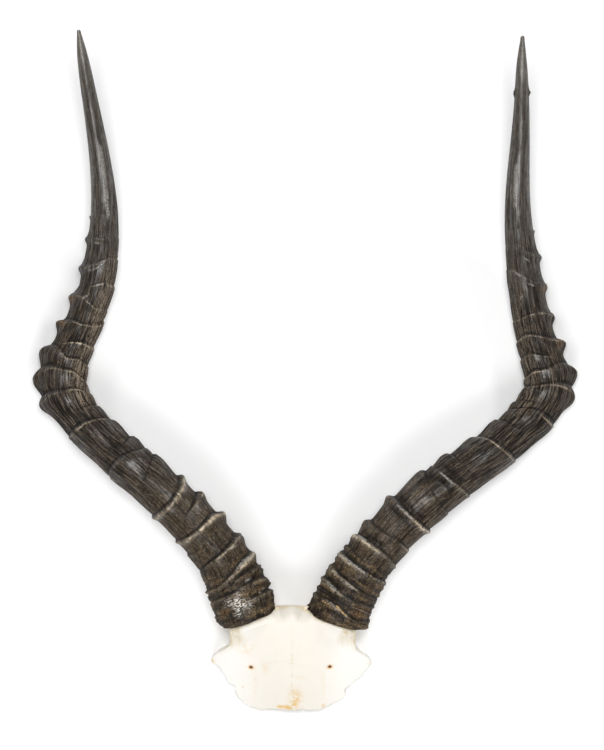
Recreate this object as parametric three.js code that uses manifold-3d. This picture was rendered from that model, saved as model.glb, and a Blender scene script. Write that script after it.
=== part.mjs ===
// A pair of ringed antelope horns on the sawn plate of skull bone that they grew from.
// Millimetres, +Z up. The object lies on a table with its forehead up: the backs of both
// horns and the saw cut under the bone touch z = 0. The horns point along +Y, and the
// origin is on the table below the middle of the object.

import * as THREE from 'three';
import { mergeVertices } from 'three/addons/utils/BufferGeometryUtils.js';
import Module from 'manifold-3d';

const wasm = await Module();
wasm.setup();

// ---- driving dimensions -------------------------------------------------------------

const GAP = 0.3; // clearance between a horn and the bone that it sits on
const HORN_SIDES = 20; // flats around a horn
const SEAT_RADIUS = 17.5; // end of each bony peg, inside the horn's seat
const SEAT_SHIFT = 3; // how far a peg's middle lies inside its horn's middle
const SEAT_DEPTH = 5; // how far a horn laps over its peg
const LEDGE = 2.6; // length of the short step on the tip side of each ring
const SWELLING_AT = 0.6; // how far along from one ring's foot to the next crest it bulges
const SWELLING_SHARE = 0.35; // and by what share of the crest's height
const TIP_RADIUS = 1.2;

const MIDLINE = -10; // x of the skull's plane of symmetry
const REAR_EDGE = -168; // y of the bone's rear edge, between the horns
const PLATE_LENGTH = 79; // rear edge to nasal end
const PLATE_HALF_WIDTH = 60.5; // midline to the outer corner of an eye socket
const FOREHEAD_HEIGHT = 50; // top of the forehead above the saw cut
const NASAL_HEIGHT = 13.5; // top of the bone at the nasal end
const SIDE_DROP = 26; // how far the forehead falls from the midline to the corners

// Each horn's run from its base to its tip: x, y and z of the middle of the horn, then
// half its width as seen from the front and half its depth from front to back.
const LEFT_RUN = [
  [-45, -175, 32, 22, 22.5],
  [-50.5, -158, 34.5, 21.3, 21],
  [-56.5, -141.5, 37, 19.6, 19.5],
  [-65, -126.5, 38.8, 18.4, 18.4],
  [-76.5, -112.5, 40, 17.5, 17.6],
  [-101, -87.5, 40.4, 16.5, 16.6],
  [-127.5, -64, 36.5, 16.2, 15.8],
  [-154.5, -41, 29, 15.2, 15.2],
  [-167, -28, 24.2, 15.3, 15],
  [-177, -13.5, 19.8, 16.4, 15],
  [-180, 4, 16.3, 17, 15],
  [-175, 20.5, 15.2, 15, 14.2],
  [-167.5, 36.5, 16, 13.1, 13],
  [-155.5, 70.5, 21.6, 12, 11.8],
  [-149.3, 105, 30.6, 10.9, 10.6],
  [-148.8, 140, 43.4, 9, 8.9],
  [-151.9, 173.5, 59.5, 7.1, 7.1],
  [-156.4, 206, 78, 5.4, 5.4],
  [-160.4, 237.5, 99, 3, 3],
  [-161.5, 247.3, 105, TIP_RADIUS, TIP_RADIUS],
];
const RIGHT_RUN = [
  [25, -173, 32, 22.4, 22.5],
  [32, -157, 34.5, 21.4, 21],
  [40.5, -141, 37, 19.8, 19.5],
  [51, -127, 38.8, 18.3, 18.4],
  [63, -113, 40, 17.5, 17.6],
  [88, -89.5, 40.4, 17.2, 16.6],
  [116, -68, 36.5, 16, 15.8],
  [145.5, -47.5, 29, 15.3, 15.2],
  [159, -36, 24.2, 15.7, 15],
  [172, -22.5, 19.8, 16.4, 15],
  [180, -7, 16.3, 17, 15],
  [177.5, 11, 15.2, 15.8, 14.2],
  [172, 27.5, 16, 14, 13],
  [164, 62.5, 21.6, 12.4, 11.8],
  [158.8, 97.5, 30.6, 11, 10.6],
  [155.8, 131.5, 43.4, 9.2, 8.9],
  [155.8, 165.5, 59.5, 7.4, 7.1],
  [155.8, 198.5, 78, 5.5, 5.4],
  [154.3, 231, 99, 3.1, 3],
  [154.2, 243, 105, TIP_RADIUS, TIP_RADIUS],
];

// The rings of each horn, base to tip. A ring's crest crosses the inner side, the front
// and the outer side at three distances along the horn, and stands out by four heights:
// on the inner side, front, outer side and back.
const LEFT_RINGS = [
  { at: [20, 9, 4], high: [1.5, 1, 0.8, 0.8] },
  { at: [32, 24, 16], high: [2, 1.2, 1, 1] },
  { at: [41, 34, 28], high: [2.5, 1.5, 1, 1] },
  { at: [53, 49, 44], high: [3.2, 1.5, 1.2, 1] },
  { at: [62, 61, 63], high: [0, 0.3, 1.8, 0.5] },
  { at: [71, 73, 77], high: [4, 1.6, 1.5, 1.2] },
  { at: [92, 88, 90], high: [4, 0.6, 0, 0.5] },
  { at: [109, 104, 103], high: [2.8, 1.6, 1.6, 1.2] },
  { at: [138, 130, 128], high: [1.6, 0.2, 0, 0.3] },
  { at: [148, 151, 148], high: [2.2, 2, 1.4, 1] },
  { at: [158, 162, 160], high: [2.2, 0.4, 0, 0.4] },
  { at: [169, 174, 173], high: [1.4, 0.3, 0, 0.2] },
  { at: [181, 190, 188], high: [1.6, 1.6, 0.8, 0.8] },
  { at: [194, 202, 200], high: [1.6, 0.3, 0.3, 0.3] },
  { at: [211, 217, 213], high: [1.2, 1.4, 4.6, 0.8] },
  { at: [224, 232, 226], high: [1.2, 1.2, 5.4, 0.8] },
  { at: [236, 242, 241], high: [1, 1, 5.4, 0.8] },
  { at: [256, 256, 252], high: [1, 1.2, 0.4, 0.6] },
  { at: [268, 270, 263], high: [0.8, 1, 4.8, 0.8] },
  { at: [285, 289, 286], high: [0.6, 1, 4.2, 0.8] },
  { at: [319, 315, 310], high: [0.4, 0.7, 3, 0.6] },
  { at: [335, 335, 333], high: [0.2, 0.5, 2, 0.4] },
  { at: [352, 352, 351], high: [0.1, 0.3, 1, 0.3] },
];
const RIGHT_RINGS = [
  { at: [11, 7, 4], high: [1.5, 1, 0.8, 0.8] },
  { at: [20, 15, 10], high: [1.8, 1.2, 0.8, 0.8] },
  { at: [28, 23, 18], high: [2, 1.3, 1, 1] },
  { at: [36, 31, 27], high: [2.2, 1.4, 1, 1] },
  { at: [43, 39, 35], high: [2.2, 1.4, 1.6, 1] },
  { at: [53, 56, 52], high: [1.2, 1.8, 1, 1] },
  { at: [69, 70, 72], high: [3.6, 0.6, 1, 0.8] },
  { at: [89, 92, 93], high: [3.8, 1.6, 2, 1.2] },
  { at: [118, 114, 113], high: [3.2, 0.3, 0, 0.4] },
  { at: [130, 133, 132], high: [2, 2.2, 1.4, 1] },
  { at: [142, 146, 146], high: [2.8, 0.4, 0, 0.4] },
  { at: [164, 172, 176], high: [2.8, 1.6, 1, 0.8] },
  { at: [185, 190, 190], high: [2.4, 0.3, 0, 0.4] },
  { at: [200, 212, 210], high: [2, 1.4, 1.4, 0.8] },
  { at: [221, 232, 230], high: [1.4, 1.2, 5, 0.8] },
  { at: [240, 246, 243], high: [1.2, 1.2, 5.4, 0.8] },
  { at: [254, 256, 251], high: [1, 0.8, 0.2, 0.5] },
  { at: [269, 271, 260], high: [0.8, 1, 5.4, 0.8] },
  { at: [283, 286, 281], high: [0.6, 1, 4.2, 0.8] },
  { at: [317, 310, 304], high: [0.4, 0.7, 3, 0.6] },
  { at: [330, 329, 327], high: [0.2, 0.5, 2, 0.4] },
  { at: [350, 350, 349], high: [0.1, 0.3, 1, 0.3] },
];

// innerSide is +1 where a horn's inner side is on the viewer's right.
const HORNS = [
  { name: 'horn_left', run: LEFT_RUN, rings: LEFT_RINGS, innerSide: 1 },
  { name: 'horn_right', run: RIGHT_RUN, rings: RIGHT_RINGS, innerSide: -1 },
];

const SMOOTH_FROM = 360; // no rings stand out past this distance along a horn
const SMOOTH_STEP = 17;

// ---- materials ----------------------------------------------------------------------

const hornMaterial = new THREE.MeshStandardMaterial({ color: 0x4a4038, roughness: 0.5, metalness: 0 });
const boneMaterial = new THREE.MeshStandardMaterial({ color: 0xefe8da, roughness: 0.75, metalness: 0 });

// ---- horns --------------------------------------------------------------------------

// A smooth curve through the run's points, carried on straight before its base. Distances
// are measured along it as seen from the front, so a place on it is where the eye finds it
// on the lying horn.
function runCurve(run) {
  const distances = [0];
  for (let i = 1; i < run.length; i += 1) {
    const step = Math.hypot(run[i][0] - run[i - 1][0], run[i][1] - run[i - 1][1]);
    distances.push(distances[i - 1] + step);
  }
  const length = distances[run.length - 1];
  const spline = new THREE.CubicInterpolant(distances, run.flat(), 5);
  const base = new THREE.Vector3(...run[0]);
  const start = new THREE.Vector3(...run[1]).sub(base).divideScalar(distances[1]);
  const at = (distance) => {
    if (distance <= 0) {
      return { middle: base.clone().addScaledVector(start, distance), halfWidth: run[0][3], halfDepth: run[0][4] };
    }
    const [x, y, z, halfWidth, halfDepth] = spline.evaluate(Math.min(distance, length));
    return { middle: new THREE.Vector3(x, y, z), halfWidth, halfDepth };
  };
  return { at, length };
}

// A cross-section's frame: the viewer's right, and how much the slope stretches an upright
// section.
function frameAt(curve, distance) {
  const before = curve.at(distance - 1).middle;
  const after = curve.at(distance + 1).middle;
  const along = after.clone().sub(before);
  const rise = along.z / Math.hypot(along.x, along.y);
  along.setZ(0).normalize();
  return { right: new THREE.Vector3(along.y, -along.x, 0), stretch: Math.hypot(1, rise) };
}

const flatStation = (distance) => ({ at: [distance, distance, distance], high: [0, 0, 0, 0] });

// A round section about the peg's own middle, which lies inside the horn's.
const roundStation = (distance, radius) => ({ ...flatStation(distance), radius });

// The sections of a horn, base to tip: the seat, then for each ring the swelling below it,
// its crest and the foot of its ledge, and last the smooth upper part.
function hornStations(rings, length) {
  const seat = SEAT_RADIUS + GAP;
  const stations = [
    roundStation(SEAT_DEPTH + GAP, seat),
    roundStation(0, seat),
    flatStation(0),
  ];
  let foot = flatStation(0);
  for (const ring of rings) {
    const swelling = {
      at: ring.at.map((crest, side) => THREE.MathUtils.lerp(foot.at[side], crest, SWELLING_AT)),
      high: ring.high.map((height) => height * SWELLING_SHARE),
    };
    foot = { at: ring.at.map((crest) => crest + LEDGE), high: [0, 0, 0, 0] };
    stations.push(swelling, ring, foot);
  }
  for (let distance = SMOOTH_FROM + SMOOTH_STEP; distance < length - SMOOTH_STEP / 2; distance += SMOOTH_STEP) {
    stations.push(flatStation(distance));
  }
  stations.push(flatStation(length));
  return stations;
}

// A cylinder's lattice, bent along a curve: its levels become the stations and its sides
// the way around. innerSide is +1 where the inner side is on the viewer's right.
function sweep(curve, stations, innerSide) {
  const levels = stations.length - 1;
  const geometry = new THREE.CylinderGeometry(1, 1, 1, HORN_SIDES, levels);
  const position = geometry.attributes.position;
  for (let i = 0; i < position.count; i += 1) {
    const station = stations[Math.round((position.getY(i) + 0.5) * levels)];
    const side = position.getX(i); // sine of the angle from the front
    const front = position.getZ(i); // cosine of it
    const inner = side * innerSide > 0;
    const distance = THREE.MathUtils.lerp(station.at[1], station.at[inner ? 0 : 2], side * side);
    const height = side * side * station.high[inner ? 0 : 2] + front * front * station.high[front > 0 ? 1 : 3];
    const { middle, halfWidth, halfDepth } = curve.at(distance);
    const { right, stretch } = frameAt(curve, distance);
    const width = station.radius ?? halfWidth + height;
    const depth = station.radius ?? halfDepth + height;
    const shift = station.radius ? SEAT_SHIFT * innerSide : 0;
    middle.addScaledVector(right, shift + side * width);
    middle.z += front * depth * stretch;
    position.setXYZ(i, middle.x, middle.y, middle.z);
  }
  return geometry;
}

function hornGeometry({ run, rings, innerSide }) {
  const curve = runCurve(run);
  return sweep(curve, hornStations(rings, curve.length), innerSide);
}

// ---- skull plate --------------------------------------------------------------------

function toSolid(geometry) {
  const bare = geometry.clone();
  bare.deleteAttribute('normal');
  bare.deleteAttribute('uv');
  const merged = mergeVertices(bare, 1e-4);
  return new wasm.Manifold(new wasm.Mesh({
    numProp: 3,
    vertProperties: new Float32Array(merged.attributes.position.array),
    triVerts: new Uint32Array(merged.index.array),
  }));
}

function toGeometry(solid) {
  const mesh = solid.getMesh();
  const geometry = new THREE.BufferGeometry();
  geometry.setAttribute('position', new THREE.BufferAttribute(mesh.vertProperties, 3));
  geometry.setIndex(new THREE.BufferAttribute(mesh.triVerts, 1));
  geometry.computeVertexNormals();
  return geometry;
}

// The bone's outline from above, for one half: distance from the midline and distance from
// the rear edge. It runs from the rear edge round the horn root, out to the corner of the
// eye socket and in along the broken edge to the nasal end.
const OUTLINE_HALF = [
  [11, 0],
  [14, 3],
  [45, 13.5],
  [46.5, 18],
  [46.5, 30],
  [53, 34],
  [PLATE_HALF_WIDTH, 40.5],
  [56, 43.5],
  [47, 57],
  [42.5, 60],
  [41, 67],
  [32, 75.5],
  [20, 78.3],
  [0, PLATE_LENGTH],
];

function outlineShape() {
  const toPoint = ([across, back], sign) => new THREE.Vector2(MIDLINE + sign * across, REAR_EDGE - back);
  const left = OUTLINE_HALF.map((row) => toPoint(row, -1));
  const right = OUTLINE_HALF.slice(0, -1).map((row) => toPoint(row, 1));
  return new THREE.Shape([...left, ...right.reverse()]);
}

// Height of the outer surface. It rises a little from the rear edge to the forehead, then
// falls in a convex curve to the nasal end, and rounds off to both sides.
const FOREHEAD_AT = 8; // distance from the rear edge to the highest place
const REAR_SHOULDER = 6; // how far the rear edge lies below it
const LEAST_HEIGHT = 4;
function boneHeight(x, y) {
  const across = Math.abs(x - MIDLINE) / PLATE_HALF_WIDTH;
  const back = REAR_EDGE - y;
  const fall = Math.max(back - FOREHEAD_AT, 0) / (PLATE_LENGTH - FOREHEAD_AT);
  const shoulder = Math.max(FOREHEAD_AT - back, 0) / FOREHEAD_AT;
  const ridge = FOREHEAD_HEIGHT - (FOREHEAD_HEIGHT - NASAL_HEIGHT) * fall ** 1.35 - REAR_SHOULDER * shoulder ** 2;
  return Math.max(ridge - SIDE_DROP * across ** 2.2, LEAST_HEIGHT);
}

// A block, larger than the bone all round, whose top face is pressed into the shape of the
// forehead.
const BLOCK_MARGIN = 4;
const BLOCK_GRID = [28, 20];
function foreheadBlock() {
  const width = 2 * (PLATE_HALF_WIDTH + BLOCK_MARGIN);
  const length = PLATE_LENGTH + 2 * BLOCK_MARGIN;
  const block = new THREE.BoxGeometry(width, length, 2, ...BLOCK_GRID, 1);
  block.translate(MIDLINE, REAR_EDGE - PLATE_LENGTH / 2, 0);
  const position = block.attributes.position;
  for (let i = 0; i < position.count; i += 1) {
    if (position.getZ(i) > 0) position.setZ(i, boneHeight(position.getX(i), position.getY(i)));
  }
  return block;
}

function ellipsoid([x, y, z], [a, b, c], tilt = 0) {
  const ball = new THREE.SphereGeometry(1, 20, 14);
  ball.scale(a, b, c);
  ball.rotateX(tilt);
  ball.translate(x, y, z);
  return ball;
}

// A round bar along a horn's first stretch: its radius at each distance from the base.
function barAlongHorn({ run, innerSide }, radii) {
  return sweep(runCurve(run), radii.map(([distance, radius]) => roundStation(distance, radius)), innerSide);
}

// Each bar is a list of distance from the horn's base and radius there.
const HORN_CLEARANCE = [[-GAP, 28], [40, 28]];
const PEG = [[-22, 21], [-4, SEAT_RADIUS + 1], [0, SEAT_RADIUS], [SEAT_DEPTH, SEAT_RADIUS]];

// The hollows under the bone: the front of the braincase, the top of the nasal passage and
// the roofs of the eye sockets.
const BRAIN_ROOM = { centre: [MIDLINE, -194, 0], size: [24, 19, 32] };
const NASAL_ROOM = { centre: [MIDLINE, -236, 3], size: [19, 19, 10], tilt: 0.42 };
const SOCKET_ROOM = { across: 49, back: 55, size: [21, 18, 12.5], drop: 3 };

function skullGeometry() {
  const upright = new THREE.ExtrudeGeometry(outlineShape(), { depth: FOREHEAD_HEIGHT + 10, bevelEnabled: false });
  const outline = toSolid(upright);
  let bone = outline.intersect(toSolid(foreheadBlock()));
  for (const horn of HORNS) {
    bone = bone.subtract(toSolid(barAlongHorn(horn, HORN_CLEARANCE)));
  }
  for (const horn of HORNS) {
    bone = bone.add(toSolid(barAlongHorn(horn, PEG)));
  }
  bone = bone.subtract(toSolid(ellipsoid(BRAIN_ROOM.centre, BRAIN_ROOM.size)));
  bone = bone.subtract(toSolid(ellipsoid(NASAL_ROOM.centre, NASAL_ROOM.size, NASAL_ROOM.tilt)));
  for (const side of [-1, 1]) {
    const centre = [MIDLINE + side * SOCKET_ROOM.across, REAR_EDGE - SOCKET_ROOM.back, -SOCKET_ROOM.drop];
    bone = bone.subtract(toSolid(ellipsoid(centre, SOCKET_ROOM.size)));
  }
  return toGeometry(bone);
}

// ---- assembly -----------------------------------------------------------------------

function namedMesh(name, geometry, material) {
  const mesh = new THREE.Mesh(geometry, material);
  mesh.name = name;
  return mesh;
}

const pair = new THREE.Group();
for (const horn of HORNS) {
  pair.add(namedMesh(horn.name, hornGeometry(horn), hornMaterial));
}
pair.add(namedMesh('skull_plate', skullGeometry(), boneMaterial));

export default pair;
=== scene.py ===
"""A pair of ringed antelope horns on the sawn plate of skull bone that they grew from.

The two horns are keratin sheaths, the plate is bleached bone, and all three lie on a white
studio floor. Shapes are worked out in millimetres in the frame's axes and stored in metres.
"""

import bpy
import numpy as np
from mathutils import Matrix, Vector


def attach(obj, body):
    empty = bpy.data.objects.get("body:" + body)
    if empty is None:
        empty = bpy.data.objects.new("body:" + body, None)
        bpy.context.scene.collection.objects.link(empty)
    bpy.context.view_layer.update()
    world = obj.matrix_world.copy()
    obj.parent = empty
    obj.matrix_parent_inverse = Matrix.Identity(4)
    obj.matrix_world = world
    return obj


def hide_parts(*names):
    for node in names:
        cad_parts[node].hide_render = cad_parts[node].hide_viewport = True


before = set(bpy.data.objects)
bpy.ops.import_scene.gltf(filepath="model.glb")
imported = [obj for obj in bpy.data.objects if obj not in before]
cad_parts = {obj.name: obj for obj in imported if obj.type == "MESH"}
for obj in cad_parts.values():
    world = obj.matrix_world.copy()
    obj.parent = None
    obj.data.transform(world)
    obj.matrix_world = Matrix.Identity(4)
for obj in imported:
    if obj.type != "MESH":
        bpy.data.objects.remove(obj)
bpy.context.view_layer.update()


# ---- The horn sheaths -------------------------------------------------------------------
# Each horn is a sheath of keratin that grew over a bony core, one ring after another. It is
# a single tapering piece, thick and ringed for two thirds of its length and smooth towards
# the tip, and its base laps over the bony peg that it grew from.

MM = 0.001  # one millimetre in the frame's metres

# The run of each horn: x, y and z of its middle, half its width from the front, half its depth
LEFT_RUN = np.array([
    [-45, -175, 32, 22, 22.5], [-50.5, -158, 34.5, 21.3, 21], [-56.5, -141.5, 37, 19.6, 19.5],
    [-65, -126.5, 38.8, 18.4, 18.4], [-76.5, -112.5, 40, 17.5, 17.6], [-101, -87.5, 40.4, 16.5, 16.6],
    [-127.5, -64, 36.5, 16.2, 15.8], [-154.5, -41, 29, 15.2, 15.2], [-167, -28, 24.2, 15.3, 15],
    [-177, -13.5, 19.8, 16.4, 15], [-180, 4, 16.3, 17, 15], [-175, 20.5, 15.2, 15, 14.2],
    [-167.5, 36.5, 16, 13.1, 13], [-155.5, 70.5, 21.6, 12, 11.8], [-149.3, 105, 30.6, 10.9, 10.6],
    [-148.8, 140, 43.4, 8.9, 8.9], [-151.9, 173.5, 59.5, 7.0, 7.0], [-156.4, 206, 78, 5.4, 5.4],
    [-160.4, 237.5, 99, 3.0, 3.0], [-161.5, 247.3, 105, 1.3, 1.3],
])
RIGHT_RUN = np.array([
    [25, -173, 32, 22.4, 22.5], [32, -157, 34.5, 21.4, 21], [40.5, -141, 37, 19.8, 19.5],
    [51, -127, 38.8, 18.3, 18.4], [63, -113, 40, 17.5, 17.6], [88, -89.5, 40.4, 17.2, 16.6],
    [116, -68, 36.5, 16, 15.8], [145.5, -47.5, 29, 15.3, 15.2], [159, -36, 24.2, 15.7, 15],
    [172, -22.5, 19.8, 16.4, 15], [180, -7, 16.3, 17, 15], [177.5, 11, 15.2, 15.8, 14.2],
    [172, 27.5, 16, 14, 13], [164.2, 62.5, 21.6, 12.6, 11.8], [158.8, 97.5, 30.6, 11, 10.6],
    [155.8, 131.5, 43.4, 9.2, 8.9], [155.8, 165.5, 59.5, 7.4, 7.1], [155.8, 198.5, 78, 5.5, 5.4],
    [154.3, 231, 99, 3.1, 3.0], [154.2, 243, 105, 1.3, 1.3],
])

# One row for each ring, base to tip. The first five numbers are how far along the horn its
# crest lies, at the outer side, outer front, front, inner front and inner side. The next
# five are how high it stands there, and the next five how pale and worn it is. The last is
# the share of its height that is a narrow roll, the rest being a long swelling.
LEFT_RINGS = [
    [1.5, -4, -4, -3.5, -0.5, -0.8, 0, 0, 0.2, 0.6, 0, 0, 0, 0, 0, 0.9],
    [7, 5, 7, 11, 12, 0.6, 0.6, 0.7, 1.2, 2.0, 0.1, 0.1, 0.2, 0.5, 0.3, 0.5],
    [16, 18, 20.5, 22.5, 21.5, 0.8, 0.8, 1.0, 1.3, 1.6, 0.1, 0.2, 0.3, 0.5, 0.2, 0.5],
    [20, 22, 26.5, 29.5, 31, 0.3, 0.3, 0.5, 1.0, 1.8, 0, 0, 0.1, 0.1, 0.2, 0.4],
    [26, 27, 32, 36, 40.5, 0.8, 1.0, 1.7, 2.3, 2.4, 0.1, 0.1, 0.4, 0.9, 0.9, 0.6],
    [45, 47.5, 48.5, 50, 53.5, 1.0, 1.1, 1.5, 2.2, 3.6, 0.1, 0.2, 0.6, 0.6, 0.4, 0.5],
    [64, 61, 60, 60, 61.5, 1.6, 0.3, 0, 0, 0, 0.3, 0, 0, 0, 0, 0.3],
    [79, 73.5, 73, 73, 70, 1.5, 1.8, 2.3, 2.7, 5.4, 0.5, 0.7, 1, 1, 0.8, 0.75],
    [90, 88, 87, 88, 91.5, 0, 0, 0.3, 1.1, 5.1, 0, 0, 0, 0.3, 0.7, 0.3],
    [104, 101.5, 100.5, 102, 110, 1.9, 2.0, 2.4, 2.6, 3.7, 0.6, 0.8, 0.9, 1, 0.6, 0.75],
    [126, 127, 128, 130, 133, 0.2, 0, 0, 0.4, 3.0, 0, 0, 0, 0, 0.1, 0.2],
    [147, 151, 150.5, 146, 140.5, 0.9, 2.5, 2.8, 1.8, 0.5, 0.2, 0.3, 0.3, 0.2, 0.1, 0.25],
    [156, 158, 157, 155, 154, 0, 0, 0, 0.4, 3.2, 0, 0, 0, 0, 0.1, 0.2],
    [188, 189, 188, 185, 171, 1.0, 2.2, 2.4, 1.7, 2.8, 0.2, 0.5, 0.9, 0.7, 0.2, 0.3],
    [199, 201, 200, 197, 190, 0, 0, 0, 0.7, 1.6, 0, 0, 0, 0.2, 0.3, 0.2],
    [213.5, 217.5, 217, 216.5, 202, 5.4, 2.4, 2.1, 1.7, 1.2, 0.2, 0.4, 0.3, 0.9, 0.7, 0.2],
    [226.5, 233, 233.5, 232.5, 215.5, 6.4, 2.1, 1.7, 2, 1.2, 0.2, 0.5, 0.3, 0.9, 0.7, 0.2],
    [240, 246, 242, 244, 240, 6.7, 2.2, 0.8, 1.4, 1.2, 0.2, 0.1, 0.6, 0.4, 0.3, 0.25],
    [250, 250, 255, 257.5, 256, 0, 0, 1.4, 1.8, 1.2, 0, 0.2, 0.9, 1, 0.8, 0.3],
    [262, 268.5, 270, 270.5, 277, 6.5, 1.8, 1.5, 1.5, 1.6, 0.3, 0.6, 0.8, 0.9, 0.3, 0.25],
    [285, 289.5, 285.5, 284, 284.5, 5.7, 2.1, 1.5, 1.3, 0.4, 0.2, 0.7, 0.9, 0.6, 0.2, 0.3],
    [297, 295, 299.5, 303, 302, 0, 0, 1.4, 1.8, 1.1, 0, 0, 0.5, 0.8, 0.3, 0.3],
    [309.5, 311.5, 316.5, 321, 321, 4.4, 1.8, 1.5, 1.1, 0.6, 0.1, 0.7, 0.6, 0.4, 0, 0.3],
    [333, 333, 334.5, 335, 336, 3.0, 1.3, 1, 0.4, 0.2, 0.1, 0.5, 0.6, 0.2, 0, 0.3],
    [351, 352, 352, 353, 353, 1.2, 0.4, 0.2, 0.1, 0, 0, 0, 0, 0, 0, 0.3],
]
RIGHT_RINGS = [
    [-1, -6, -7, -8.5, -6, 0, 0, 0, 0, 0.6, 0, 0, 0, 0, 0, 0.9],
    [4, 0.5, 3, 6.5, 6, 0.5, 0.5, 0.7, 1.0, 1.0, 0, 0.1, 0.6, 0.4, 0.1, 0.6],
    [9.5, 10, 8.5, 10, 12, 0.7, 0.6, 0.5, 0.6, 1.2, 0.3, 0.2, 0, 0, 0.1, 0.4],
    [15, 14, 13.5, 15, 20, 0.6, 0.6, 0.9, 1.3, 1.7, 0, 0.1, 0.3, 0.6, 0.3, 0.5],
    [22, 21.5, 23.5, 25.5, 29, 0.7, 0.7, 1.0, 1.4, 1.9, 0, 0.1, 0.5, 0.9, 0.4, 0.5],
    [38.5, 37, 36.5, 36.5, 38, 1.5, 1.0, 1.5, 2.0, 2.2, 0.4, 0.3, 0.5, 0.8, 0.5, 0.5],
    [44, 43.5, 43, 43, 44, 0.2, 0.2, 0.2, 0.4, 1.2, 0, 0, 0, 0, 0.1, 0.4],
    [53, 55.5, 56, 55, 52, 1.0, 1.1, 1.7, 2.5, 2.6, 0.3, 0.2, 0.7, 1, 0.8, 0.7],
    [70, 70, 68.5, 66.5, 65, 1.4, 0.8, 0.4, 0.9, 4.4, 0.8, 0.3, 0.1, 0.1, 0.1, 0.3],
    [92.5, 90.8, 90, 89.4, 87.5, 1.9, 1.7, 1.6, 2.0, 4.4, 0.8, 0.9, 0.4, 0.2, 0.4, 0.75],
    [112, 112, 113, 114.5, 116.5, 1.0, 0.2, 0.1, 0.3, 4.2, 0.5, 0.1, 0, 0, 0.1, 0.25],
    [134, 132, 129.6, 127, 124, 0.7, 0.7, 1.0, 1.2, 0.5, 0.2, 0.6, 0, 0, 0, 0.75],
    [146, 145, 144, 142, 137.5, 0.2, 0.1, 0.1, 0.2, 3.5, 0, 0, 0, 0, 0.1, 0.2],
    [176, 175.5, 173, 170, 159, 1.0, 1.8, 2.4, 1.8, 3.3, 0.2, 0.6, 1, 0.5, 0.1, 0.3],
    [191, 192, 192, 189.5, 183, 0, 0, 0, 0.7, 3.2, 0, 0, 0, 0, 0.1, 0.2],
    [210.5, 212, 212, 206.5, 194, 1.3, 2.5, 2.2, 1.7, 0.5, 0.8, 0.7, 0.2, 0.3, 0.3, 0.25],
    [219, 219, 218.5, 214, 203.5, 0, 0, 0, 0.4, 1.9, 0, 0, 0, 0, 0.1, 0.2],
    [229, 233, 234, 233, 219, 5.4, 2.1, 1.7, 1.8, 1.4, 0.3, 0.7, 0.4, 0.7, 0.7, 0.2],
    [239, 246, 244.5, 246.5, 240, 6.4, 2, 1.1, 2, 1.3, 0.1, 0.1, 0.3, 0.9, 0.9, 0.25],
    [249, 251, 255.5, 260, 256.5, 0, 0.2, 1.1, 1.7, 1.2, 0, 0.1, 0.6, 0.4, 0.3, 0.25],
    [258.5, 266, 272, 273.5, 269.5, 6.6, 2.1, 1.7, 1.8, 1.1, 0.5, 0.6, 0.8, 1, 0.8, 0.25],
    [281.5, 287.5, 288, 285.5, 284, 5.6, 1.8, 1.5, 1.1, 0.4, 0.4, 0.8, 0.9, 0.5, 0.2, 0.3],
    [305, 308.5, 314, 320.5, 323, 4.3, 1.7, 1.4, 1.1, 0.4, 0.6, 0.3, 0.3, 0.5, 0.1, 0.3],
    [328, 330.5, 335, 337, 338, 3.2, 1.5, 0.7, 0.2, 0.1, 0.2, 0.5, 0.2, 0, 0, 0.3],
    [349, 350, 351, 352, 352, 1.3, 0.4, 0.2, 0.1, 0, 0, 0, 0, 0, 0, 0.3],
]

# Broad swellings, furrows and creases on top of the rings: distance along, degrees from the
# front (plus is inner), height, and how far it reaches along the horn and around it
LEFT_SWELLS = np.array([
    [8, 95, 2.6, 20, 45], [30, 95, 1.2, 16, 40], [300, 95, 1.3, 24, 45], [203, 30, -1.0, 12, 9],
    [238, -12, -0.9, 8, 8], [225, 12, -0.6, 10, 7], [262, 14, -0.6, 12, 8], [285, 22, -0.7, 14, 8],
    [366, 60, -0.9, 6, 9], [357, 50, -0.9, 6, 8], [350, 44, -0.9, 6, 8], [342, 37, -0.9, 6, 8],
    [333, 35, -0.8, 6, 8], [324, 33, -0.7, 6, 8], [150, -90, 0.8, 60, 50], [4, -90, -1.6, 14, 40],
])
RIGHT_SWELLS = np.array([
    [4, 95, 1.0, 12, 45], [112, -27, -0.9, 9, 4], [128.6, 14, 2.6, 3.2, 25],
    [90.4, 13, 1.7, 2.8, 22], [262, 12, -0.6, 12, 8], [285, 20, -0.6, 12, 8],
    [376, 45, -0.8, 6, 8], [367, 49, -0.8, 6, 8], [358, 47, -0.8, 6, 8], [348, 44, -0.8, 6, 8],
    [338, 41, -0.7, 6, 8], [236, -19, 0.7, 3, 10], [239, 12, 0.6, 3, 8], [150, -90, 0.8, 60, 50],
])

SIDES = 208  # points around a horn
ANGLES = np.linspace(-np.pi, np.pi, SIDES, endpoint=False)  # from the front, plus is inner
ROW_PITCH = 0.95  # mean distance between rows of points where the horn is ringed
SMOOTH_PITCH = 1.7  # and towards the tip
FRAYED_PITCH = 0.5  # and where it is frayed
CROWDING = 0.12  # how far the rows are drawn towards the crests
BLUR = np.radians(9)  # a ring's numbers are blurred by this much around the horn
BACK_HIGHEST = 0.8  # rings hardly stand out at the back, which faces the table
HIGH_RING_ROLL = 0.75  # rings over 4 to 6 mm high are rolls by this share
TEETH_FROM = 262.0  # from here on a crest's outer side grows into a tooth
TEETH_GROWTH = 25.0  # and is a whole one after this distance
FRAYED_AT = 447.0  # where the right horn's edge is frayed
FRAYED_REACH = 4.0
RIGHT_DUST = 0.4  # the right horn's dust, as a share of the left one's
TABLE_GAP = 0.02  # no point of a horn is lower
SEAT_RADIUS = 17.8  # the round seat in the base, for the bony peg
SEAT_DEPTH = 5.3
SEAT_SHIFT = 3.0  # the seat lies this far to the inner side of the middle
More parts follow.
